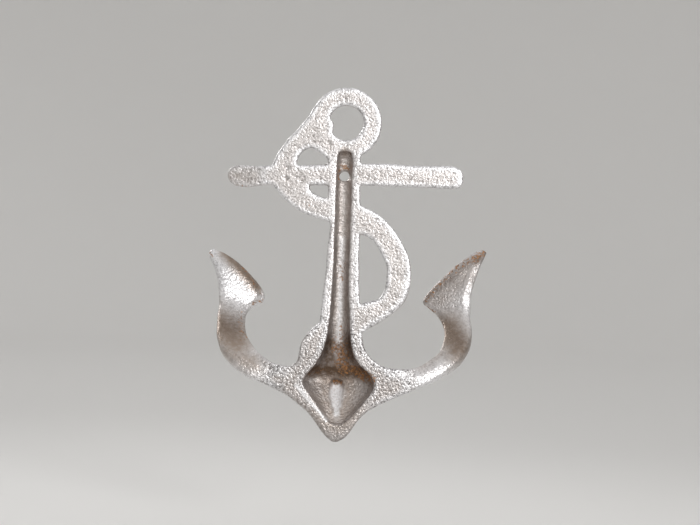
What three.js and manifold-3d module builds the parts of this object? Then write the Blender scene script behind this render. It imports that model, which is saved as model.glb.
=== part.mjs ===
// Anchor wall hook: one rope-fouled anchor, sand cast in a single piece of iron.
// Millimetres. The origin is the screw hole's centre on the flat back, which lies in the plane y = 0
// against the wall. +Z runs up the shank, +Y points out of the wall, and +X is to the right of
// someone who looks at the flat back. Every member is a loft through ribs, and a rib is one
// cross-section: its two edges, and how far the metal rises in front of them.
import * as THREE from "three";
import { mergeVertices } from "three/addons/utils/BufferGeometryUtils.js";
import Module from "manifold-3d";

const wasm = await Module();
wasm.setup();

// ---- Driving dimensions ----

const SCREW_RADIUS = 2.6;
const SCREW_SIDES = 24;

const BEHIND = 1.5; // every flat-backed member runs this far past the back plane before it is cut
const CUTTER_SIZE = 400;
const CUTTER_DEPTH = 40;
const MERGE_WITHIN = 1e-4;

const RING = { x: 0.2, z: 26.8, outer: 17.9, hole: 8.7 };
const RING_SEGMENTS = 44;
// Half of the ring's section, from its wall to its crest: distance in from the wall, and height.
const RING_HALF = [
  [0, -BEHIND],
  [0, 3.5],
  [1.6, 6.6],
  [3, 8.2],
];

const ARCH_SIDES = 10; // facets over the front of a member
const ARCH_SQUARENESS = 0.72; // 1 is an ellipse, less is boxier
const STEPS_PER_RIB = 2;
const ARM_STEPS_PER_RIB = 3;
const ARM_BACK_SIDES = 4; // facets between an arm's shoulder and its crest
const RUN_NUDGE = 0.25; // of a step, each way, between the two points that give an arm's direction

const ROPE_STEPS_PER_RIB = 4;
const ROPE_LAY = 13; // distance between strand grooves along the rope
const GROOVE_DEPTH = 0.17; // of the rope's rise
const GROOVE_SHARPNESS = 4;

const SILVER = { color: 0xc7c3c1, roughness: 0.45, metalness: 0.9 };

// ---- Ribs ----

// A rib of a flat-backed member: first edge x and z, second edge x and z, rise.
const flat = (ax, az, bx, bz, rise) => ({
  a: new THREE.Vector3(ax, 0, az),
  b: new THREE.Vector3(bx, 0, bz),
  rise,
});

// A rib of an arm, whose edges leave the back plane: outer edge, throat edge, rise, and then the
// crest and the shoulder of its back, each as a share of the width from the outer edge and a height.
const armRib = (outer, throat, rise, crest, shoulder) => ({
  a: new THREE.Vector3(...outer),
  b: new THREE.Vector3(...throat),
  rise,
  crest: new THREE.Vector3(...crest, 0),
  shoulder: new THREE.Vector3(...shoulder, 0),
});

// Crossbar, left to right: slightly swollen and rounded off at both ends.
const STOCK = [
  flat(-59.2, -2.6, -59.2, -0.4, 3),
  flat(-58, -5, -58, 1.9, 6.5),
  flat(-55, -7, -55, 3.8, 8),
  flat(-48, -7.5, -48, 4, 8.5),
  flat(-41, -6.1, -41, 3.8, 8),
  flat(-28, -5.5, -28, 4.6, 8),
  flat(0, -5, 0, 6, 8),
  flat(18, -4.5, 18, 7, 8),
  flat(32, -4.6, 32, 6.3, 8),
  flat(46, -4.6, 46, 6.5, 8),
  flat(54, -4.8, 54, 6.7, 8.5),
  flat(57.6, -4.4, 57.6, 5.6, 8),
  flat(59.4, -2.8, 59.4, 4, 6),
  flat(60, -1.2, 60, 2.6, 3),
];

// Metal that fills the corner between the ring's left side and the shank.
const RING_FOOT = [
  flat(-6, 6, -6, 20, 8),
  flat(-9, 8.6, -9, 20, 8),
  flat(-14.6, 12.6, -14.6, 22, 8),
  flat(-19, 14.4, -19, 24, 8),
];

// Shank and crown in one run, from inside the ring down to the point below the bowl.
const SHANK = [
  flat(-8.8, 17, 8.8, 17, 8),
  flat(-8.7, 8, 8, 8, 10),
  flat(-8.1, -7, 8.2, -7, 11),
  flat(-6.5, -25, 8.9, -25, 11),
  flat(-7.7, -37, 8.8, -37, 11),
  flat(-7.9, -47, 9.1, -47, 11),
  flat(-9.2, -60, 9.6, -60, 11),
  flat(-9.8, -70, 10.8, -70, 11.5),
  flat(-11, -80, 11.7, -80, 12.5),
  flat(-13.4, -87, 13.2, -87, 14.2),
  flat(-17, -91.6, 16.6, -91.6, 16),
  flat(-22.5, -95.4, 22, -95.4, 17.5),
  flat(-26, -102, 26, -102, 19),
  flat(-26.5, -109, 27.5, -109.6, 19),
  flat(-22.6, -113.8, 22.8, -114.2, 18),
  flat(-15.8, -119, 15.2, -119, 16),
  flat(-11, -124.6, 10, -124.6, 13),
  flat(-7.6, -129.2, 6.8, -129.6, 10),
  flat(-4.2, -132.6, 4, -132.6, 7.5),
  flat(-1.6, -134.4, 0.8, -134.4, 4),
];

// The rope in one run: out of the ring's eye, over the stock's left half, across the front of the
// shank, round to its right, back behind it, and a tail that dies into the crown.
const ROPE = [
  flat(-6.6, 21.5, -6, 26.6, 5),
  flat(-11, 17, -14.6, 35.6, 9.5),
  flat(-16.2, 14, -19.1, 29.4, 10.5),
  flat(-20.6, 12, -24.7, 22.4, 11),
  flat(-23.4, 8.5, -30.8, 15.4, 11.5),
  flat(-24.2, 3, -35.8, 6.4, 12),
  flat(-22, -2, -36.6, -0.6, 12),
  flat(-17.6, -6, -35.2, -7, 11.5),
  flat(-15.8, -8.8, -29.2, -13.4, 11),
  flat(-10.8, -11, -20.4, -19.4, 10.5),
  flat(-6, -11.6, -11, -22.4, 11.5),
  flat(0, -12.4, -2, -24.8, 15),
  flat(7, -14, 5.5, -28, 14.5),
  flat(12, -15.8, 10, -29.4, 11),
  flat(18.4, -19.2, 13.6, -31.2, 9.5),
  flat(25.1, -25.3, 16.8, -34, 9.5),
  flat(30.1, -32.4, 20.3, -39.6, 9.5),
  flat(34, -40.2, 22.8, -45, 9.5),
  flat(35.5, -49, 22.9, -50, 9.5),
  flat(34.7, -56.6, 22.4, -55.6, 9.5),
  flat(32.2, -63.4, 20.6, -59.8, 9.5),
  flat(27.4, -68.2, 18.2, -61.8, 9.5),
  flat(21.4, -73, 12.4, -63.6, 9.5),
  flat(12.7, -78.2, 6, -67, 9),
  flat(4, -82, -2, -70, 8),
  flat(-5, -86, -11.2, -75.4, 9),
  flat(-9, -90, -15.2, -79, 9.5),
  flat(-12, -95, -18.8, -84.8, 9.5),
  flat(-14, -101, -20, -91, 9.5),
  flat(-15, -107, -21.5, -97, 8),
];

// Left arm, crown to tip.
const ARM_LEFT = [
  armRib([-12, 0, -119], [-17, 0, -95], 11, [0.3, 0], [0.9, 0]),
  armRib([-24, 0, -112.6], [-25.4, 0, -96.8], 10.5, [0.4, 0], [0.9, 0]),
  armRib([-36, 0, -106.8], [-33, 1, -95.3], 10, [0.3, 0.3], [0.62, 0.6]),
  armRib([-46.8, 0.5, -101.8], [-39.4, 4, -91.2], 8.5, [0.15, 0.7], [0.42, 1.6]),
  armRib([-54.8, 3, -95.8], [-44.2, 10, -86.4], 7.2, [0.15, 1.3], [0.37, 2.2]),
  armRib([-60.2, 8, -89], [-47.4, 17, -82], 7, [0.14, 1.5], [0.4, 2]),
  armRib([-63, 16, -82], [-48.8, 25, -77], 7, [0.14, 1.5], [0.5, 1.6]),
  armRib([-63.6, 25.5, -74.5], [-48.8, 33, -72.4], 6.8, [0.14, 1.4], [0.62, 1.4]),
  armRib([-63.2, 32, -68], [-46.2, 38, -68.8], 6.5, [0.14, 1.4], [0.7, 1.8]),
  armRib([-63.7, 34.5, -63.5], [-40.8, 41, -66.2], 5.5, [0.13, 1.3], [0.77, 2.4]),
  armRib([-64.3, 36, -59], [-40, 41.5, -61.2], 5.5, [0.13, 1.3], [0.77, 2.6]),
  armRib([-65.7, 38, -53], [-47, 42, -52.4], 6, [0.15, 1.3], [0.74, 2.4]),
  armRib([-67.6, 40.5, -47.8], [-55, 43, -45.2], 5.5, [0.18, 1.2], [0.68, 2]),
  armRib([-69.8, 43, -44.2], [-62.2, 44.5, -40.6], 4.5, [0.25, 1], [0.62, 1.4]),
  armRib([-71.2, 45.5, -41], [-68.6, 46, -38.2], 2.6, [0.3, 0.5], [0.6, 0.6]),
];

// Right arm, crown to tip.
const ARM_RIGHT = [
  armRib([12, 0, -120], [15, 0, -92], 11, [0.3, 0], [0.9, 0]),
  armRib([24, 0, -113.8], [24, 0, -95.8], 10.5, [0.4, 0], [0.9, 0]),
  armRib([35, 0, -108.8], [33.4, 1, -96.4], 10, [0.3, 0.3], [0.62, 0.6]),
  armRib([45.4, 0.5, -103.2], [40.8, 4, -94.8], 8.5, [0.15, 0.7], [0.46, 1.6]),
  armRib([54.8, 3, -97], [47.8, 10, -90.6], 7.2, [0.15, 1.3], [0.4, 2.2]),
  armRib([62, 8, -91], [52, 16, -86.8], 7, [0.14, 1.6], [0.4, 2]),
  armRib([67, 16, -84.4], [54.2, 24, -80.6], 7, [0.14, 1.7], [0.5, 1.6]),
  armRib([68.8, 24, -77.4], [54, 31, -75.2], 6.8, [0.14, 1.7], [0.62, 1.4]),
  armRib([68, 31, -70.8], [51.6, 36.5, -70.6], 6.5, [0.14, 1.7], [0.76, 1.3]),
  armRib([68.2, 34, -65.4], [47, 40, -67], 6, [0.13, 1.7], [0.86, 1.2]),
  armRib([68.5, 35.5, -60], [43, 41, -63], 5.5, [0.13, 1.7], [0.9, 1.2]),
  armRib([69.4, 37.5, -54.8], [47.6, 41.5, -56], 6, [0.15, 1.7], [0.88, 1.2]),
  armRib([71.2, 39.8, -49.4], [55.2, 42.5, -48.2], 5.5, [0.18, 1.6], [0.84, 1.2]),
  armRib([73.6, 42.4, -43.2], [63.4, 44, -40.4], 4.5, [0.25, 1.3], [0.78, 1]),
  armRib([75.8, 45, -38.4], [70, 46, -35.8], 3.5, [0.3, 0.8], [0.7, 0.8]),
  armRib([77, 46.6, -35.6], [73.8, 47, -34], 2.4, [0.3, 0.4], [0.7, 0.4]),
];

// Hollow in the back: the trough down the shank opens into the spade-shaped bowl.
const HOLLOW = [
  flat(-2.4, 12.4, 2.4, 12.4, 1.2),
  flat(-3.2, 11.4, 3.2, 11.4, 3.4),
  flat(-3.6, 9, 3.6, 9, 5.4),
  flat(-3.7, 5, 3.7, 5, 6),
  flat(-3.8, -8, 3.7, -8, 6),
  flat(-3.8, -30, 3.7, -30, 6),
  flat(-3.9, -52, 3.7, -52, 6.2),
  flat(-4.9, -72, 5, -72, 6.8),
  flat(-6.3, -83, 5.9, -83, 8),
  flat(-8.6, -90.4, 7.6, -90, 9.6),
  flat(-11.4, -95.5, 10.8, -95, 11),
  flat(-15.4, -100, 15.6, -99.2, 12.4),
  flat(-17.9, -104.4, 18.7, -103.8, 13.2),
  flat(-15, -109.2, 17.2, -108.8, 11),
  flat(-10.5, -115, 12.4, -115, 7.8),
  flat(-6.8, -120.6, 7.8, -120.6, 4.8),
  flat(-3.8, -124.4, 4.2, -124.4, 2.4),
  flat(-0.8, -125.8, 1.2, -125.8, 0.8),
];

// Teardrop pocket in the bowl's floor: a round top with a steep wall, and a long point below. Its
// floor is steeper than the bowl's, so it is deepest at the top.
const POCKET = [
  flat(-2.2, -103.2, 1, -103.2, 12.6),
  flat(-4.2, -104.1, 3, -104.1, 15.2),
  flat(-5, -106, 3.8, -106, 16),
  flat(-5.2, -109, 4, -109, 14.4),
  flat(-4.7, -113, 3.5, -113, 11.4),
  flat(-3.6, -117, 2.6, -117, 8.2),
  flat(-1.8, -120.4, 1, -120.4, 5.4),
];

// Where the back's edge falls away from the wall: the flat's own edge, the outline, the fall.
const WORN_EDGES = [
  // below and to the right of the rope's bight
  [
    flat(35, -48, 37, -48, 0.2),
    flat(33.4, -57, 37, -58.4, 2),
    flat(30.8, -62.6, 34.4, -66.2, 2.4),
    flat(26.2, -67.2, 29, -71.4, 2.4),
    flat(20.4, -71.8, 22.6, -76, 2.4),
    flat(13, -76, 14.4, -80.6, 2),
  ],
  // along the crown's lower left
  [
    flat(-38, -103.4, -40.4, -108.6, 0.4),
    flat(-28.4, -107, -31.6, -112.8, 1.8),
    flat(-21, -112.4, -24.6, -116.8, 2.1),
    flat(-13.4, -119.2, -17, -122.4, 2.1),
    flat(-7.8, -127, -10.8, -130.4, 1.6),
    flat(-3, -132.6, -4.4, -136, 0.4),
  ],
  // the stock's left end
  [flat(-40, 7, -61, 7, 2), flat(-40, -10, -61, -10, 2)],
];

// ---- Lofts ----

// Unit section of a member's front, from its first edge to its second.
function archPoint(side) {
  const angle = (Math.PI * side) / ARCH_SIDES;
  const across = Math.cos(angle);
  const u = 0.5 - 0.5 * Math.sign(across) * Math.abs(across) ** ARCH_SQUARENESS;
  const v = Math.abs(Math.sin(angle)) ** ARCH_SQUARENESS;
  return { u, v, angle };
}

const ARCH = Array.from({ length: ARCH_SIDES + 1 }, (_, side) => archPoint(side));

// Smooth curve through one value of every rib, read at a fraction of the whole run.
function through(ribs, valueOf) {
  const curve = new THREE.CatmullRomCurve3(ribs.map(valueOf), false, "catmullrom", 0.5);
  return (t) => curve.getPoint(THREE.MathUtils.clamp(t, 0, 1));
}

const riseOf = (rib) => new THREE.Vector3(rib.rise, 0, 0);

// Closes a stack of equal rings into one body, with a fan over each end.
function skin(rings) {
  const sides = rings[0].length;
  const faces = [];
  for (let ring = 0; ring + 1 < rings.length; ring += 1) {
    for (let side = 0; side < sides; side += 1) {
      const here = ring * sides + side;
      const next = ring * sides + ((side + 1) % sides);
      faces.push(here, next, here + sides, next, next + sides, here + sides);
    }
  }
  const last = (rings.length - 1) * sides;
  for (let side = 1; side + 1 < sides; side += 1) {
    faces.push(0, side + 1, side);
    faces.push(last, last + side, last + side + 1);
  }
  return new THREE.BufferGeometry().setFromPoints(rings.flat()).setIndex(faces);
}

// A member with a flat back in the plane y = 0. `relief` scales its front by angle and distance.
function flatLoft(ribs, stepsPerRib = STEPS_PER_RIB, relief = () => 1) {
  const [aAt, bAt, riseAt] = [(rib) => rib.a, (rib) => rib.b, riseOf].map((f) => through(ribs, f));
  const steps = (ribs.length - 1) * stepsPerRib;
  const rings = [];
  let travelled = 0;
  let previous = null;
  for (let step = 0; step <= steps; step += 1) {
    const a = aAt(step / steps);
    const b = bAt(step / steps);
    const rise = riseAt(step / steps).x;
    const middle = a.clone().lerp(b, 0.5);
    travelled += previous ? middle.distanceTo(previous) : 0;
    previous = middle;
    const ring = ARCH.map(({ u, v, angle }) =>
      a.clone().lerp(b, u).setY(rise * v * relief(angle, travelled)),
    );
    ring.push(b.setY(-BEHIND), a.setY(-BEHIND));
    rings.push(ring);
  }
  return skin(rings);
}

// Three strands twisted together: a groove wherever two of them meet.
function strands(angle, travelled) {
  const phase = Math.PI * (travelled / ROPE_LAY + angle / Math.PI);
  const groove = Math.abs(Math.cos(phase)) ** GROOVE_SHARPNESS;
  return 1 - GROOVE_DEPTH * groove * Math.sin(angle);
}

// A wedge that falls from nothing at each rib's first edge to the rib's rise at its second.
function wedgeLoft(ribs) {
  return skin(
    ribs.map(({ a, b, rise }) => [a, b.clone().setY(rise), b.clone().setY(-BEHIND)]),
  );
}

// An arm leaves the back plane, so its front is square to its own run and its width. `side` is +1
// for the arm on the right and -1 for the one on the left.
function armLoft(ribs, side) {
  const values = [(rib) => rib.a, (rib) => rib.b, riseOf, (rib) => rib.crest, (rib) => rib.shoulder];
  const [aAt, bAt, riseAt, crestAt, shoulderAt] = values.map((f) => through(ribs, f));
  const middleAt = (t) => aAt(t).lerp(bAt(t), 0.5);
  const steps = (ribs.length - 1) * ARM_STEPS_PER_RIB;
  const nudge = RUN_NUDGE / steps;
  const rings = [];
  for (let step = 0; step <= steps; step += 1) {
    const t = step / steps;
    const a = aAt(t);
    const b = bAt(t);
    const run = middleAt(t + nudge).sub(middleAt(t - nudge));
    const front = b.clone().sub(a).cross(run).normalize().multiplyScalar(side);
    const inFront = (u, height) => a.clone().lerp(b, u).addScaledVector(front, height);
    const ring = ARCH.map(({ u, v }) => inFront(u, riseAt(t).x * v));
    for (let part = 0; part <= ARM_BACK_SIDES; part += 1) {
      const spot = shoulderAt(t).lerp(crestAt(t), part / ARM_BACK_SIDES);
      ring.push(inFront(spot.x, -spot.y));
    }
    rings.push(ring);
  }
  return skin(rings);
}

// ---- Solids ----

// A closed three.js geometry as a manifold-3d solid. A loft's faces point in or out with the order
// of its ribs' edges, so an inside-out one is turned round.
function solid(geometry) {
  const plain = geometry.clone();
  plain.deleteAttribute("normal");
  plain.deleteAttribute("uv");
  const merged = mergeVertices(plain, MERGE_WITHIN);
  const vertProperties = merged.attributes.position.array;
  const build = (triVerts) =>
    new wasm.Manifold(new wasm.Mesh({ numProp: 3, vertProperties, triVerts }));
  const triVerts = new Uint32Array(merged.index.array);
  const made = build(triVerts);
  return made.volume() > 0 ? made : build(triVerts.reverse());
}

function ring() {
  const outside = RING_HALF.map(([inset, y]) => new THREE.Vector2(RING.outer - inset, y));
  const inside = RING_HALF.map(([inset, y]) => new THREE.Vector2(RING.hole + inset, y));
  const profile = [...outside, ...inside.reverse(), outside[0]];
  return solid(new THREE.LatheGeometry(profile, RING_SEGMENTS).translate(RING.x, 0, RING.z));
}

function screwHole() {
  const length = 2 * CUTTER_DEPTH;
  return solid(new THREE.CylinderGeometry(SCREW_RADIUS, SCREW_RADIUS, length, SCREW_SIDES));
}

// Everything behind the back plane.
function wallSide() {
  const block = new THREE.BoxGeometry(CUTTER_SIZE, CUTTER_DEPTH, CUTTER_SIZE);
  return solid(block.translate(0, -CUTTER_DEPTH / 2, 0));
}

function casting() {
  const flatBacked = [STOCK, RING_FOOT, SHANK].map((ribs) => flatLoft(ribs));
  const rope = flatLoft(ROPE, ROPE_STEPS_PER_RIB, strands);
  const arms = [armLoft(ARM_LEFT, -1), armLoft(ARM_RIGHT, 1)];
  const members = [...flatBacked, rope, ...arms].map(solid);
  const whole = members.reduce((sum, member) => sum.add(member), ring());

  const hollows = [flatLoft(HOLLOW), flatLoft(POCKET), ...WORN_EDGES.map(wedgeLoft)].map(solid);
  const cuts = [...hollows, screwHole(), wallSide()];
  return cuts.reduce((left, cut) => left.subtract(cut), whole);
}

// ---- The part ----

function meshOf(name, made, look) {
  const { numProp, vertProperties, triVerts } = made.getMesh();
  const positions = new Float32Array((vertProperties.length / numProp) * 3);
  for (let vertex = 0; vertex * numProp < vertProperties.length; vertex += 1) {
    positions.set(vertProperties.subarray(vertex * numProp, vertex * numProp + 3), vertex * 3);
  }
  const geometry = new THREE.BufferGeometry();
  geometry.setAttribute("position", new THREE.BufferAttribute(positions, 3));
  geometry.setIndex(new THREE.BufferAttribute(triVerts, 1));
  geometry.computeVertexNormals();
  const mesh = new THREE.Mesh(geometry, new THREE.MeshStandardMaterial(look));
  mesh.name = name;
  return mesh;
}

const anchor = new THREE.Group();
anchor.name = "anchor_wall_hook";
anchor.add(meshOf("anchor_casting", casting(), SILVER));

export default anchor;
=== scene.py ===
"""Anchor wall hook: a rope-fouled anchor, sand cast in one piece and coated silver.

The casting is a skin drawn round the CAD solid: facets and sharp corners are rounded as a mould
rounds them, and the skin is pitted and wrinkled like sand-cast iron. Its silver coat has worn to
brown and orange in the hollows and along the edges, and shade in its corners, creases, hollows and
arm bends and highlights in the trough and the bowl are painted into it. The skin is worked out in
millimetres, with x and z across the flat back and y out of the wall, and the studio is set out in
metres.
"""

import bpy
import numpy as np
import openvdb as vdb
from mathutils import Matrix, Vector


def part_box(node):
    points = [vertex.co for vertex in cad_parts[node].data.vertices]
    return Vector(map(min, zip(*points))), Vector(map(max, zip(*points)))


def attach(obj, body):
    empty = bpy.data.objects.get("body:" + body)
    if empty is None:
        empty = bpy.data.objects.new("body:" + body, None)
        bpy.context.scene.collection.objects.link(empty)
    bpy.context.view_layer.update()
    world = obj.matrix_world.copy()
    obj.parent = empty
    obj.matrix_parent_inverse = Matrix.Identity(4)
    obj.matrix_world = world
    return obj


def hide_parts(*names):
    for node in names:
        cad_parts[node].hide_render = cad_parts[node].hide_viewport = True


NODE = "anchor_casting"
METRE = 1000.0  # in millimetres

# ---- Skin ----

VOXEL = 0.5
BAND = 5  # voxels on each side of the surface
PAD = 8  # empty voxels on each side of the block
MOST_TRIANGLES = 196000
ROUNDING_PASSES = 2
TAUBIN_ROUNDS = 9
TAUBIN_SHRINK, TAUBIN_GROW = 0.5, -0.53

# Relief: the seed of its noise, and each kind's grid step and height.
SEED = 11
LUMP_STEP, LUMP_HEIGHT = 2.0, 0.07
WAVE_STEP, WAVE_HEIGHT = 0.9, 0.03
WRINKLE_STEP, WRINKLE_DEPTH = 0.42, 0.09
RIPPLE_STEP, RIPPLE_HEIGHT = 0.4, 0.09
RIPPLE_SQUEEZE = (0.45, 0.6, 1.0)  # draws the trough's ripples out across it
SHARP_PASSES = 2  # of blurring, for wrinkles and ripples

# Half width of the hollow in the back, at heights from the crown up to the trough's top.
HOLLOW_Z = (-127.0, -120.0, -110.0, -104.0, -97.0, -90.0, -83.0, -72.0, -50.0, 8.0, 12.5)
HOLLOW_HALF = (0.5, 7.5, 16.0, 19.0, 13.5, 8.6, 6.6, 5.2, 4.2, 4.2, 1.0)
HOLLOW_BOTTOM, HOLLOW_TOP = -127.5, 13.0
HOLLOW_FADE = 0.9  # past its half width
HOLLOW_DEPTH = (0.25, 1.0)  # of y, from the back's rim to fully inside
HOLLOW_FACING, HOLLOW_FACING_FADE = 0.35, 0.4  # its normals point less than this out of the wall
TROUGH_FOOT = (-84, -70)  # of z, from the bowl's neck to the trough proper
TROUGH_MIDDLE = (-70, -40)  # of z, above which its corners are less dark
TROUGH_LIGHTER = 0.7

ARMS_FROM = (33.0, 43.0)  # of x, either way from the shank
ARMS_BELOW = (24.0, 30.0)  # below the screw hole
ARMS_FACING, ARMS_FACING_FADE = 0.7, 0.5  # as for the hollow, where their skin counts as behind
BACK_REACH, BACK_FADE = 1.3, 0.9  # of y, in front of the back plane
BACK_FACING = (0.35, 0.75)  # how far its normals point towards the wall

# How much the back is darkened and roughened: everywhere, below the shank's middle, and at the
# crown's tip.
DARK_BACK_ALL, DARK_BACK_LOW, DARK_BACK_TIP = 0.35, 0.65, 0.5
LOW_FROM = (50, 100)  # below the screw hole
TIP_FROM = (116, 132)

# How much of the relief is left everywhere, and what the back's darkening and the trough add to it.
ROUGH_ALL, ROUGH_DARK_BACK, ROUGH_TROUGH = 0.5, 0.5, 0.35
# The coat is darkened in the relief's dips as painted shade.
DIP_DEPTH = (0.02, 0.2)  # from no darkening to all of it

NOOK_PASSES = 5  # of blurring, on voxels of twice the size
NOOK_AWAY = 1.1  # out from the skin
NOOK_METAL = (0.25, 0.52)  # share of metal, from the open skin to a tight corner

# Stains, painted shade and painted highlights, each a soft-edged stroke over the back: from x, z to
# x, z, reach, strength. A strength over 1 widens the stroke's full middle.
RUST = (
    (0.3, -45.0, 0.3, -53.0, 2.6, 0.6),
    (1.0, -77.0, 1.0, -82.0, 3.0, 0.6),
    (0.5, -86.0, 3.0, -98.0, 6.0, 0.74),
    (4.0, -97.0, 16.0, -101.5, 5.0, 0.8),
    (-14.0, -101.0, -9.0, -99.5, 3.0, 0.45),
    (-1.6, -104.9, 1.0, -105.6, 1.7, 0.95),
    (-2.6, 3.2, -3.2, -1.0, 1.2, 0.85),
    (-1.2, 5.0, 1.5, 4.2, 2.2, 0.72),
    (-57.0, -6.8, -48.0, -7.4, 1.2, 0.66),
    (-45.5, -67.0, -41.0, -65.0, 2.0, 0.7),
    (-42.0, -62.0, -53.0, -47.0, 1.1, 0.6),
    (44.5, -65.0, 48.5, -68.5, 2.0, 0.72),
    (44.5, -62.0, 58.0, -46.5, 2.4, 0.6),
    (58.0, -46.5, 72.0, -37.0, 2.8, 0.66),
    (70.0, -40.0, 75.5, -36.0, 2.6, 0.72),
    (-71.0, -40.0, -69.0, -42.5, 1.6, 0.6),
    (-18.0, -15.0, -16.5, -15.5, 1.4, 0.55),
    (-49.0, -82.0, -36.0, -92.0, 1.1, 0.55),
    (-52.0, -70.0, -50.0, -84.0, 3.0, 0.5),
    (-68.0, -76.0, -64.0, -86.0, 3.0, 0.42),
)
# Dark bronze: tarnish in the bowl and down the trough, with the shade on their walls painted in,
# and painted shade on the arms' bends, the flukes' bevels and the right fluke's tip.
BRONZE_AND_SHADE = (
    (-14.0, -99.0, 14.0, -99.0, 6.0, 1.0),
    (-5.0, -84.0, -5.0, -94.0, 7.0, 0.9),
    (5.0, -84.0, 5.0, -94.0, 7.0, 0.9),
    (-4.4, 10.0, -4.4, -30.0, 1.6, 0.35),
    (4.2, 10.0, 4.4, -30.0, 1.6, 0.35),
    (-4.5, -32.0, -4.6, -70.0, 2.2, 0.65),
    (4.5, -32.0, 4.6, -60.0, 2.2, 0.65),
    (-5.6, -66.0, -7.0, -86.0, 2.6, 0.85),
    (5.8, -58.0, 7.0, -86.0, 2.6, 0.85),
    (-2.5, -104.4, 2.0, -104.4, 1.6, 0.9),
    (-60.0, -41.0, -45.0, -56.0, 3.4, 0.45),
    (-67.0, -76.0, -54.0, -79.0, 7.0, 0.6),
    (57.0, -77.0, 62.0, -83.0, 7.0, 0.55),
    (43.5, -62.0, 71.0, -38.5, 3.0, 0.6),
    (52.0, -62.0, 66.0, -50.0, 7.0, 0.18),
    (71.0, -41.0, 76.0, -36.0, 2.6, 0.85),
)
# Warm grey, mostly painted shade with some tarnish: the arms' bends, the right fluke, the left
# fluke's bevel, the trough, the stock's left end, the bowl's lower half and the crown's left rim
# and tip.
SHADE_AND_TARNISH = (
    (-67.0, -76.0, -52.0, -86.0, 10.0, 1.0),
    (-58.0, -90.0, -42.0, -96.0, 6.0, 0.75),
    (56.0, -76.0, 61.0, -85.0, 10.0, 1.0),
    (56.0, -85.0, 42.0, -93.0, 6.0, 0.55),
    (50.0, -62.0, 68.0, -46.0, 8.0, 0.48),
    (-62.0, -40.0, -44.0, -58.0, 4.0, 1.0),
    (0.0, 10.0, 0.0, -30.0, 5.0, 0.72),
    (0.0, -34.0, 0.0, -78.0, 5.0, 0.75),
    (0.0, 12.0, 0.0, 7.0, 3.4, 0.8),
    (-58.0, -2.0, -46.0, -2.0, 5.0, 0.45),
    (-18.0, -84.0, -20.0, -100.0, 7.0, 0.25),
    (0.0, -106.0, 0.0, -116.0, 15.0, 0.9),
    (0.0, -127.0, 0.0, -135.0, 8.0, 0.3),
    (-24.0, -108.0, -10.0, -126.0, 5.0, 0.4),
)
# Painted highlights, partly worn bright spots: the pocket's floor, the bowl's lower-left rim and a
# streak down the trough.
HIGHLIGHT_AND_WEAR = (
    (-0.4, -109.5, -0.4, -112.0, 2.9, 2.2),
    (-0.4, -112.0, -0.2, -116.0, 2.2, 2.2),
    (-0.2, -116.0, 0.0, -120.5, 1.3, 1.8),
    (-20.5, -106.5, -5.0, -123.5, 0.9, 0.9),
    (0.0, 8.0, 0.0, -30.0, 1.4, 0.3),
    (0.0, -32.0, 0.0, -84.0, 1.5, 0.85),
)

# Single pits in the flat back: x, z, radius, depth. A negative depth is a raised nub.
PITS = (
    (-8.3, 16.3, 1.1, 0.55),
    (-28.6, 3.0, 0.9, 0.5),
    (-29.4, -2.1, 0.8, 0.45),
    (-17.8, -16.3, 1.0, -0.35),
)
PITS_REACH = 2  # in front of the back plane


def cad_triangles(node):
    """The CAD node's corners in millimetres and its triangles."""
    mesh = node.data
    mesh.calc_loop_triangles()
    corners = np.empty(len(mesh.vertices) * 3, np.float32)
    mesh.vertices.foreach_get("co", corners)
    triangles = np.empty(len(mesh.loop_triangles) * 3, np.int32)
    mesh.loop_triangles.foreach_get("vertices", triangles)
    return corners.reshape(-1, 3) * METRE, triangles.reshape(-1, 3).astype(np.uint32)


def distance_field(corners, triangles):
    """Signed distance to the solid's surface on a block of voxels, and the block's first voxel."""
    grid = vdb.FloatGrid.createLevelSetFromPolygons(
        corners,
        triangles=triangles,
        transform=vdb.createLinearTransform(VOXEL),
        halfWidth=float(BAND),
    )
    low, high = (np.array(end) for end in grid.evalActiveVoxelBoundingBox())
    low -= PAD
    field = np.full(high - low + PAD, grid.background, np.float32)
    grid.copyToArray(field, ijk=tuple(int(i) for i in low))
    return field, low


def blurred(field, passes):
    for _ in range(passes):
        for axis in range(3):
            field = (np.roll(field, 1, axis) + 2 * field + np.roll(field, -1, axis)) / 4
    return field


def sampled(field, low, points, step):
    """The field's value at each point, between its voxels."""
    spot = points / step - low
    cell = np.clip(np.floor(spot).astype(int), 0, np.array(field.shape) - 2)
    part = spot - cell
    total = np.zeros(len(points))
    for i in (0, 1):
        for j in (0, 1):
            for k in (0, 1):
                share = np.abs(1 - np.array((i, j, k)) - part).prod(1)
                total += share * field[cell[:, 0] + i, cell[:, 1] + j, cell[:, 2] + k]
    return total


def quads_of(field, low):
    grid = vdb.FloatGrid(float(BAND * VOXEL))
    grid.transform = vdb.createLinearTransform(VOXEL)
    grid.copyFromArray(field.astype(np.float32), ijk=tuple(int(i) for i in low))
    points, quads = grid.convertToQuads(0.0)
    return points.astype(float), quads.astype(np.int64)


def summed(index, values, count):
    return np.stack([np.bincount(index, values[:, axis], count) for axis in range(3)], 1)


def normals_of(points, quads):
    across = points[quads[:, 2]] - points[quads[:, 0]]
    along = points[quads[:, 3]] - points[quads[:, 1]]
    total = summed(quads.ravel(), np.repeat(np.cross(across, along), 4, 0), len(points))
    return total / np.maximum(np.linalg.norm(total, axis=1, keepdims=True), 1e-12)


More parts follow.
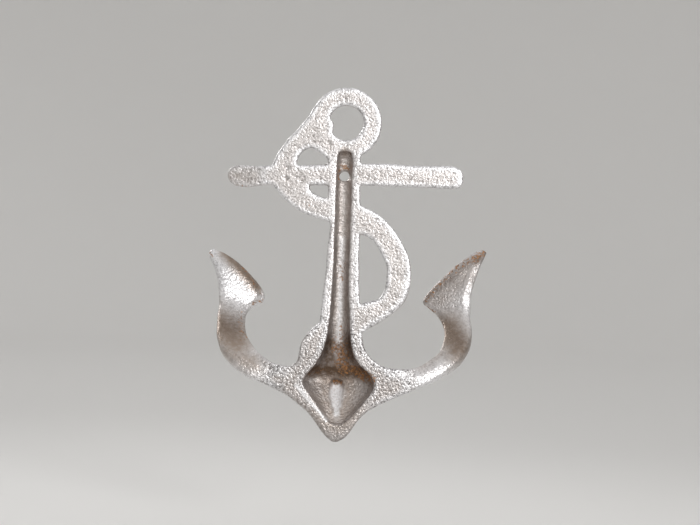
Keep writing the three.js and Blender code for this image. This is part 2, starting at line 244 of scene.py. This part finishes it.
class Neighbours:
    """Each point's neighbours along the quads' sides."""

    def __init__(self, quads, count):
        ends = np.concatenate([quads[:, [i, (i + 1) % 4]] for i in range(4)])
        ends = np.unique(np.sort(ends, 1), axis=0)
        self.here = np.concatenate([ends[:, 0], ends[:, 1]])
        self.there = np.concatenate([ends[:, 1], ends[:, 0]])
        self.count = count
        self.degree = np.maximum(np.bincount(self.here, minlength=count), 1)[:, None]

    def mean(self, values):
        return summed(self.here, values[self.there], self.count) / self.degree


def eased(values, start, end):
    """Rises smoothly from 0 at the start to 1 at the end."""
    t = np.clip((values - start) / (end - start), 0, 1)
    return t * t * (3 - 2 * t)


def noise_at(points, step, rng, passes=3):
    """Smooth noise of unit spread, whose lumps are about four grid steps across."""
    low = np.floor(points.min(0) / step).astype(int) - 2
    high = np.ceil(points.max(0) / step).astype(int) + 3
    field = blurred(rng.standard_normal(high - low).astype(np.float32), passes)
    return sampled(field / field.std(), low, points, step)


def stain(points, strokes):
    """The strongest of some soft-edged strokes at each point, at most 1."""
    flat = points[:, [0, 2]]
    total = np.zeros(len(points))
    for from_x, from_z, to_x, to_z, reach, strength in strokes:
        start, run = np.array((from_x, from_z)), np.array((to_x - from_x, to_z - from_z))
        along = np.clip((flat - start) @ run / (run @ run), 0, 1)
        away = np.linalg.norm(flat - start - along[:, None] * run, axis=1) / reach
        total = np.maximum(total, strength * np.exp(-(away**2)))
    return np.minimum(total, 1)


def regions(points, normals):
    """How far each point belongs to the back, to the hollow and to the arms, from 0 to 1.

    The back is the flat that lies on the wall and any other skin that faces the wall.
    """
    x, y, z = points.T
    facing_out = normals[:, 1]
    half = np.interp(z, HOLLOW_Z, HOLLOW_HALF)
    hollow = eased(half + HOLLOW_FADE - np.abs(x), 0, HOLLOW_FADE) * eased(y, *HOLLOW_DEPTH)
    within = (z < HOLLOW_TOP) * (z > HOLLOW_BOTTOM)
    hollow *= eased(HOLLOW_FACING - facing_out, 0, HOLLOW_FACING_FADE) * within
    arms = eased(np.abs(x), *ARMS_FROM) * eased(-z, *ARMS_BELOW)
    back = np.maximum(eased(BACK_REACH - y, 0, BACK_FADE), eased(-facing_out, *BACK_FACING))
    back *= (1 - arms) * (1 - hollow)
    return back, hollow, arms


# This measure of enclosure is used for the painted shade in corners.
def nooks(field, low, points, normals):
    """How much metal stands round each point, from 0 on the open skin to 1 in a tight corner."""
    shape = np.array(field.shape) // 2 * 2
    metal = (field[: shape[0], : shape[1], : shape[2]] < 0).astype(np.float32)
    pairs = metal.reshape(shape[0] // 2, 2, shape[1] // 2, 2, shape[2] // 2, 2)
    halved = blurred(pairs.mean((1, 3, 5)), NOOK_PASSES)
    outside = points + NOOK_AWAY * normals
    return eased(sampled(halved, low / 2, outside, 2 * VOXEL), *NOOK_METAL)


def smooth_skin(field, low):
    """The solid's skin with its corners rounded: points, quads and normals that face out."""
    points, quads = quads_of(blurred(field, ROUNDING_PASSES), low)
    beside = Neighbours(quads, len(points))
    for _ in range(TAUBIN_ROUNDS):
        for share in (TAUBIN_SHRINK, TAUBIN_GROW):
            points = points + share * (beside.mean(points) - points)
    normals = normals_of(points, quads)
    if (normals * (points - points.mean(0))).sum() < 0:
        quads = quads[:, ::-1]
        normals = -normals
    return points, quads, normals


def cast_skin(node):
    """Points and quads of the casting's rough skin, and what its coat looks like at each point."""
    rng = np.random.default_rng(SEED)
    field, low = distance_field(*cad_triangles(node))
    points, quads, normals = smooth_skin(field, low)
    back, hollow, arms = regions(points, normals)
    x, y, z = points.T

    lumps = noise_at(points, LUMP_STEP, rng)
    waves = noise_at(points, WAVE_STEP, rng)
    wrinkles = np.abs(noise_at(points, WRINKLE_STEP, rng, SHARP_PASSES))
    ripples = noise_at(points * RIPPLE_SQUEEZE, RIPPLE_STEP, rng, SHARP_PASSES)
    trough = hollow * eased(z, *TROUGH_FOOT)
    low_down, at_tip = eased(-z, *LOW_FROM), eased(-z, *TIP_FROM)
    # The back is darkened and roughened more towards the bottom and at the crown's tip.
    rough_dark_back = back * (DARK_BACK_ALL + DARK_BACK_LOW * low_down + DARK_BACK_TIP * at_tip)
    rough = np.clip(ROUGH_ALL + ROUGH_DARK_BACK * rough_dark_back + ROUGH_TROUGH * trough, 0, 1)
    relief = WAVE_HEIGHT * waves - WRINKLE_DEPTH * wrinkles + RIPPLE_HEIGHT * trough * ripples
    push = LUMP_HEIGHT * lumps + rough * relief
    for pit_x, pit_z, radius, depth in PITS:
        away = np.hypot(x - pit_x, z - pit_z) / radius
        push -= depth * np.exp(-(away**2)) * (y < PITS_REACH)

    arms_behind = arms * eased(ARMS_FACING - normals[:, 1], 0, ARMS_FACING_FADE)
    behind = np.maximum(np.maximum(hollow, back), arms_behind)
    lighter = 1 - TROUGH_LIGHTER * hollow * eased(z, *TROUGH_MIDDLE)
    looks = {
        # painted shade where the relief dips
        "dip_shade": eased(-relief, *DIP_DEPTH),
        # painted shade in corners, with less of it up the trough
        "corner_shade": nooks(field, low, points, normals) * lighter,
        "rough_dark_back": rough_dark_back,
        "hollow": hollow,
        "arms": arms,
        "rust": stain(points, RUST) * behind,
        # tarnish in the hollow, and painted shade on the arms
        "bronze_and_shade": stain(points, BRONZE_AND_SHADE) * np.maximum(hollow, arms * behind),
        # painted shade with some tarnish, along the listed strokes
        "shade_and_tarnish": stain(points, SHADE_AND_TARNISH) * behind,
        "front": 1 - behind,
        # painted highlights, partly worn spots
        "highlight_and_wear": stain(points, HIGHLIGHT_AND_WEAR) * behind,
    }
    return points + normals * push[:, None], quads, looks


def casting(node):
    """The skin as one mesh, thinned to few enough triangles and kept inside the CAD node's box."""
    points, quads, looks = cast_skin(node)
    low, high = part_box(NODE)
    mesh = bpy.data.meshes.new("skin")
    mesh.from_pydata((points / METRE).tolist(), [], quads.tolist())
    for name, values in looks.items():
        look = mesh.attributes.new(name, "FLOAT", "POINT")
        look.data.foreach_set("value", values.astype(np.float32))
    made = bpy.data.objects.new("casting", mesh)
    bpy.context.scene.collection.objects.link(made)
    thin = made.modifiers.new("thin", "DECIMATE")
    thin.ratio = min(1.0, MOST_TRIANGLES / (2 * len(quads)))
    depsgraph = bpy.context.evaluated_depsgraph_get()
    made.data = bpy.data.meshes.new_from_object(made.evaluated_get(depsgraph))
    made.modifiers.clear()
    kept = np.empty(len(made.data.vertices) * 3, np.float32)
    made.data.vertices.foreach_get("co", kept)
    kept = np.clip(kept.reshape(-1, 3), np.array(low), np.array(high)).astype(np.float32)
    made.data.vertices.foreach_set("co", kept.ravel())
    made.data.shade_smooth()
    return made


# ---- Coat ----

BRIGHT = (0.86, 0.85, 0.86)
GREY = (0.2, 0.19, 0.195)
STEEL = (0.3, 0.29, 0.29)
PEWTER = (0.35, 0.315, 0.29)
WARM = (0.36, 0.29, 0.24)
DARK = (0.125, 0.082, 0.055)
ORANGE = (0.42, 0.19, 0.06)
UMBER = (0.12, 0.062, 0.03)

# Sizes of the coat's noise.
FINE, PATCH, GRAIN, FLECK, GRIT = 0.9, 2.2, 1.15, 1.2, 0.6
BUMP_HEIGHT = 0.46
METALLIC = 0.88


class Nodes:
    """Adds nodes to one material and joins them up."""

    def __init__(self, material):
        material.use_nodes = True
        self.tree = material.node_tree
        self.shader = self.tree.nodes["Principled BSDF"]
        self.place = self.add("TexCoord").outputs["Object"]

    def add(self, kind, inputs=(), **settings):
        node = self.tree.nodes.new("ShaderNode" + kind)
        for name, value in settings.items():
            setattr(node, name, value)
        for name, value in dict(inputs).items():
            self.put(node.inputs[name], value)
        return node

    def put(self, socket, value):
        if isinstance(value, bpy.types.NodeSocket):
            self.tree.links.new(value, socket)
        else:
            socket.default_value = value

    def math(self, operation, first, second, clamp=False):
        settings = {"operation": operation, "use_clamp": clamp}
        return self.add("Math", {0: first, 1: second}, **settings).outputs[0]

    def times(self, first, second, clamp=False):
        return self.math("MULTIPLY", first, second, clamp)

    def look(self, name):
        """One of the skin's looks, which the mesh carries at each point."""
        return self.add("Attribute", attribute_name=name).outputs["Fac"]

    def noise(self, size, detail):
        """Noise whose lumps are about size millimetres across."""
        spots = {"Vector": self.place, "Scale": METRE / size, "Detail": detail}
        return self.add("TexNoise", spots).outputs["Fac"]

    def range(self, value, low, high, to_low=0.0, to_high=1.0):
        ends = {"Value": value, "From Min": low, "From Max": high}
        ends.update({"To Min": to_low, "To Max": to_high})
        return self.add("MapRange", ends, interpolation_type="SMOOTHSTEP").outputs["Result"]

    def mix(self, share, first, second):
        """One colour over another."""
        node = self.add("Mix", data_type="RGBA")
        self.put(node.inputs["Factor"], share)
        for socket, value in ((node.inputs[6], first), (node.inputs[7], second)):
            self.put(socket, (*value, 1) if isinstance(value, tuple) else value)
        return node.outputs[2]


def rust_flecks(n):
    """Where rust has broken through, in flecks."""
    flecks = n.times(n.math("SUBTRACT", n.noise(FLECK, 4.0), 0.5), 2.0)
    return n.range(n.math("ADD", n.look("rust"), flecks), 0.5, 0.86, 0.0, 0.85)


def coat_colour(n, grain, patches, rust):
    """Bright silver with dark specks and painted crease shade, then tarnish, painted shade, painted
    highlights, worn spots and rust over it.
    """
    rough_dark_back, corner_shade = n.look("rough_dark_back"), n.look("corner_shade")
    # Painted shade in the grain's low spots and the relief's dips, which also stands for the coat's
    # dark specks; more of it on the darker lower back.
    specks_and_crease_shade = n.times(n.range(grain, 0.36, 0.52, 0.95, 0.0), n.range(rough_dark_back, 0.0, 1.0, 0.3, 1.0))
    specks_and_crease_shade = n.math("ADD", specks_and_crease_shade, n.times(n.look("dip_shade"), 0.2), True)
    colour = n.mix(specks_and_crease_shade, BRIGHT, GREY)
    # The back is darker towards the bottom and the crown's tip.
    colour = n.mix(n.range(rough_dark_back, 0.5, 1.5, 0.0, 0.75), colour, STEEL)
    colour = n.mix(n.times(n.look("front"), 0.6), colour, PEWTER)

    # Warm grey over the listed strokes and in corners: painted shade, partly tarnish.
    shade_and_tarnish = n.math("MAXIMUM", n.look("shade_and_tarnish"), corner_shade)
    shade_and_tarnish = n.times(shade_and_tarnish, n.range(patches, 0.2, 0.75, 0.88, 1.12), True)
    colour = n.mix(shade_and_tarnish, colour, WARM)
    # The tightest corners are darkened further with painted shade.
    corners = n.times(n.math("POWER", corner_shade, 2.0), 0.7)
    # Dark bronze: tarnish in the hollows, and painted shade on the arms and in the tightest
    # corners.
    bronze_and_shade = n.math("MAXIMUM", n.look("bronze_and_shade"), corners)
    bronze_and_shade = n.times(bronze_and_shade, n.range(patches, 0.25, 0.7, 0.85, 1.1), True)
    colour = n.mix(bronze_and_shade, colour, DARK)

    # Painted highlights, partly worn spots, in bright silver.
    highlight_and_wear = n.times(n.look("highlight_and_wear"), n.range(grain, 0.35, 0.55, 0.7, 1.0))
    colour = n.mix(highlight_and_wear, colour, BRIGHT)
    tint = n.mix(n.range(n.noise(FINE, 3.0), 0.35, 0.65), UMBER, ORANGE)
    return n.mix(rust, colour, tint)


def metallic(n, rust):
    """Rust, and the painted highlights that are partly worn spots, shine less like metal than the
    coat does.
    """
    left = n.math("SUBTRACT", METALLIC, n.times(rust, 0.7))
    return n.math("SUBTRACT", left, n.times(n.look("highlight_and_wear"), 0.6), True)


def roughness(n, patches, rust):
    rough = n.range(patches, 0.3, 0.7, 0.3, 0.4)
    rough = n.math("ADD", rough, n.times(n.look("hollow"), 0.12))
    return n.math("ADD", rough, n.times(rust, 0.3))


def cast_bump(n, grain):
    """Fine sand grain, strongest on the darkened back, in the hollow and on the arms."""
    lively = n.math("MAXIMUM", n.look("rough_dark_back"), n.look("hollow"))
    lively = n.math("MAXIMUM", lively, n.times(n.look("arms"), 0.9))
    strength = n.range(lively, 0.0, 1.0, 0.5, 1.0)
    height = n.math("ADD", grain, n.times(n.noise(GRIT, 1.0), 0.35))
    bump = {"Strength": strength, "Distance": BUMP_HEIGHT / METRE, "Height": height}
    return n.add("Bump", bump).outputs["Normal"]


def silver():
    material = bpy.data.materials.new("cast_silver")
    n = Nodes(material)
    grain, patches, rust = n.noise(GRAIN, 2.0), n.noise(PATCH, 2.0), rust_flecks(n)
    n.put(n.shader.inputs["Base Color"], coat_colour(n, grain, patches, rust))
    n.put(n.shader.inputs["Metallic"], metallic(n, rust))
    n.put(n.shader.inputs["Roughness"], roughness(n, patches, rust))
    n.put(n.shader.inputs["Normal"], cast_bump(n, grain))
    return material


# ---- Studio ----

LENS, SENSOR = 85, 36
CAMERA_PLACE = (0.00429, -0.833, -0.0436)
CAMERA_TILT = np.radians(1.92)

# Soft spots: name, place, radius in metres, watts. They point at the casting's middle, and their
# cone spares the floor at their feet.
SPOTS = (
    ("key", (0.7, -1.3, 0.3), 0.2, 43),
    ("fill", (-0.15, -1.5, 0.25), 0.14, 5),
    ("front", (-0.9, 1.2, 0.6), 0.2, 30),
)
SPOT_AIM = (0, 0, -0.045)
SPOT_CONE = np.radians(38)
WORLD_STRENGTH = 0.85

FLOOR_LEVEL = -0.19
FLOOR_REACH, SWEEP, WALL_TOP = 1.9, 1.1, 2.4
SWEEP_STEPS, ROUND_STEPS = 16, 96
FLOOR_PAINT, FLOOR_ROUGHNESS = (0.74, 0.73, 0.715, 1), 0.9


def camera():
    """A camera square to the back, rolled as the photo is."""
    data = bpy.data.cameras.new("camera")
    data.lens = LENS
    data.sensor_width = SENSOR
    made = bpy.data.objects.new("camera", data)
    bpy.context.scene.collection.objects.link(made)
    right = (np.cos(CAMERA_TILT), 0, np.sin(CAMERA_TILT))
    up = (-np.sin(CAMERA_TILT), 0, np.cos(CAMERA_TILT))
    axes = Matrix((right, up, (0, -1, 0))).transposed().to_4x4()
    made.matrix_world = Matrix.Translation(CAMERA_PLACE) @ axes
    bpy.context.scene.camera = made


def soft_spot(name, place, radius, watts):
    data = bpy.data.lights.new(name, "SPOT")
    data.shadow_soft_size = radius
    data.energy = watts
    data.spot_size = SPOT_CONE
    data.spot_blend = 1.0
    made = bpy.data.objects.new(name, data)
    bpy.context.scene.collection.objects.link(made)
    made.location = place
    made.rotation_euler = (Vector(SPOT_AIM) - Vector(place)).to_track_quat("-Z", "Y").to_euler()


def surroundings():
    """Even white light from all sides."""
    world = bpy.data.worlds.new("studio")
    bpy.context.scene.world = world
    world.use_nodes = True
    sky = world.node_tree.nodes["Background"].inputs
    sky["Color"].default_value = (1, 1, 1, 1)
    sky["Strength"].default_value = WORLD_STRENGTH


def studio_floor():
    """A pale floor that sweeps up into a pale wall all round."""
    turn = np.linspace(0, np.pi / 2, SWEEP_STEPS)
    radii = [0.0, *(FLOOR_REACH + SWEEP * np.sin(turn)), FLOOR_REACH + SWEEP]
    heights = [FLOOR_LEVEL, *(FLOOR_LEVEL + SWEEP * (1 - np.cos(turn))), WALL_TOP]
    round_ = np.linspace(0, 2 * np.pi, ROUND_STEPS, endpoint=False)
    points = [(r * np.cos(a), r * np.sin(a), h) for r, h in zip(radii, heights) for a in round_]
    faces = []
    for ring in range(len(radii) - 1):
        for step in range(ROUND_STEPS):
            here = ring * ROUND_STEPS + step
            beside = ring * ROUND_STEPS + (step + 1) % ROUND_STEPS
            faces.append((here, beside, beside + ROUND_STEPS, here + ROUND_STEPS))
    mesh = bpy.data.meshes.new("floor")
    mesh.from_pydata(points, [], faces)
    mesh.shade_smooth()
    made = bpy.data.objects.new("floor", mesh)
    bpy.context.scene.collection.objects.link(made)
    paint = bpy.data.materials.new("floor")
    paint.use_nodes = True
    shader = paint.node_tree.nodes["Principled BSDF"]
    shader.inputs["Base Color"].default_value = FLOOR_PAINT
    shader.inputs["Roughness"].default_value = FLOOR_ROUGHNESS
    mesh.materials.append(paint)


# ---- Scene ----

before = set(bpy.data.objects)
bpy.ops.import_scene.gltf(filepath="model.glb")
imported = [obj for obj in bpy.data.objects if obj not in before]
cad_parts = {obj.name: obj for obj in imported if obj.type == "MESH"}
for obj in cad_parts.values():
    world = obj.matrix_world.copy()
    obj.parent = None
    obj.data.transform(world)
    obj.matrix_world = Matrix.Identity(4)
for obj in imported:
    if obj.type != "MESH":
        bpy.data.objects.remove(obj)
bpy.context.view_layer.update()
skin = casting(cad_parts[NODE])
skin.data.materials.clear()
skin.data.materials.append(silver())
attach(skin, "root")
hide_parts(NODE)

camera()
studio_floor()
for spot in SPOTS:
    soft_spot(*spot)
surroundings()
bpy.context.scene.view_settings.view_transform = "Standard"
